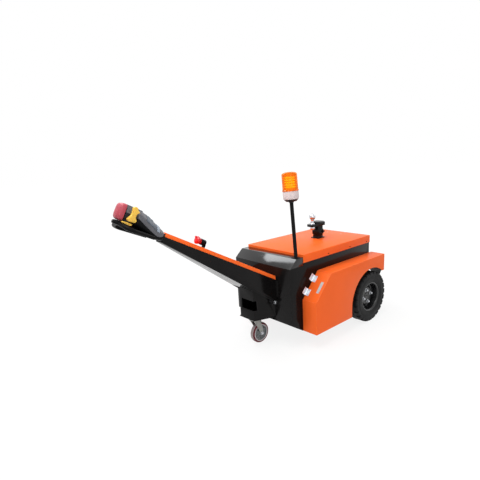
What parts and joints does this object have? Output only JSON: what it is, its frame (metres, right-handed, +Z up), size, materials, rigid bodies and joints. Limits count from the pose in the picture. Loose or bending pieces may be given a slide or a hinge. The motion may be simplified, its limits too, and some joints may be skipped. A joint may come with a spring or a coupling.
{
  "type": "walk-behind baggage tug",
  "caption": "Walk-behind electric baggage tug: tapered tiller with control head, front castor, driven rear wheels under side boxes, beacon pole and tow ball on the top cover.",
  "frame": {"origin": "on the ground, below the middle of the whole machine's outline", "axes": "+Z up, -Y towards the tiller and the walking operator, +X to the machine's side with the beacon"},
  "size_m": [0.797, 2.0098, 1.2041],
  "materials": {
    "body_black": "gloss",
    "body_orange": "semi-gloss",
    "liner_black": "matt",
    "zinc": "zinc plated",
    "bright_steel": "polished",
    "cast_black": "painted black",
    "tyre_black": "moulded rubber",
    "rim_black": "satin",
    "castor_red": "cast tread",
    "castor_grey": "as cast",
    "handle_black": "fine grain",
    "rocker_yellow": "satin",
    "button_red": "satin",
    "stop_red": "gloss",
    "keypad_grey": "satin",
    "lens_amber": "gloss",
    "collar_light": "satin",
    "battery_grey": "moulded"
  },
  "bodies": {
    "chassis": {"floor_pan": "liner_black", "side_panels": "body_black", "front_panel": "body_black", "rear_panel": "body_black", "nose": "body_black", "top_cover": "body_orange", "box_right": "body_orange", "box_left": "body_orange", "arch_liners": "liner_black", "hinge_frames": "zinc", "bracket": "body_black", "castor_plate": "zinc", "drive_axle": "cast_black", "drive_motor": "cast_black", "battery": "battery_grey", "hitch_post": "body_black", "hitch_tongue": "body_black", "tow_ball": "bright_steel", "beacon_pole": "liner_black", "beacon_base": "handle_black", "beacon_collar": "collar_light", "beacon_lens": "lens_amber", "pivot_shaft": "zinc"},
    "wheel_right": {"tyre_right": "tyre_black", "rim_right": "rim_black", "hub_right": "zinc"},
    "wheel_left": {"tyre_left": "tyre_black", "rim_left": "rim_black", "hub_left": "zinc"},
    "castor": {"castor_fork": "zinc", "castor_axle": "zinc"},
    "castor_wheel": {"castor_tread": "castor_red", "castor_core": "castor_grey"},
    "tiller": {"tiller_tray": "body_black", "tiller_top": "body_orange", "estop_bracket": "liner_black", "estop_button": "stop_red", "head_housing": "handle_black", "head_rocker": "rocker_yellow", "head_keypad": "keypad_grey", "belly_button": "button_red"},
    "flap_right": {"flap_right": "body_orange", "hinge_leaves_right": "zinc"},
    "flap_left": {"flap_left": "body_orange", "hinge_leaves_left": "zinc"}
  },
  "joints": [
    {"name": "wheel_right_spin", "type": "hinge", "parent": "chassis", "child": "wheel_right", "pos_m": [0.34, 0.80495, 0.2], "axis": [1, 0, 0], "continuous": true},
    {"name": "wheel_left_spin", "type": "hinge", "parent": "chassis", "child": "wheel_left", "pos_m": [-0.34, 0.80495, 0.2], "axis": [1, 0, 0], "continuous": true},
    {"name": "castor_swivel", "type": "hinge", "parent": "chassis", "child": "castor", "pos_m": [0, -0.07905, 0.19], "axis": [0, 0, 1], "continuous": true},
    {"name": "castor_roll", "type": "hinge", "parent": "castor", "child": "castor_wheel", "pos_m": [0, -0.03405, 0.075], "axis": [1, 0, 0], "continuous": true},
    {"name": "tiller_tilt", "type": "hinge", "parent": "chassis", "child": "tiller", "pos_m": [0, -0.01955, 0.34], "axis": [-1, 0, 0], "range_deg": [-15, 3]},
    {"name": "flap_right_hinge", "type": "hinge", "parent": "chassis", "child": "flap_right", "pos_m": [0.2818, 0.1243, 0.34941], "axis": [0, -0.6831, -0.7303], "range_deg": [0, 85]},
    {"name": "flap_left_hinge", "type": "hinge", "parent": "chassis", "child": "flap_left", "pos_m": [-0.2818, 0.1243, 0.34941], "axis": [0, 0.6831, 0.7303], "range_deg": [0, 85]}
  ]
}
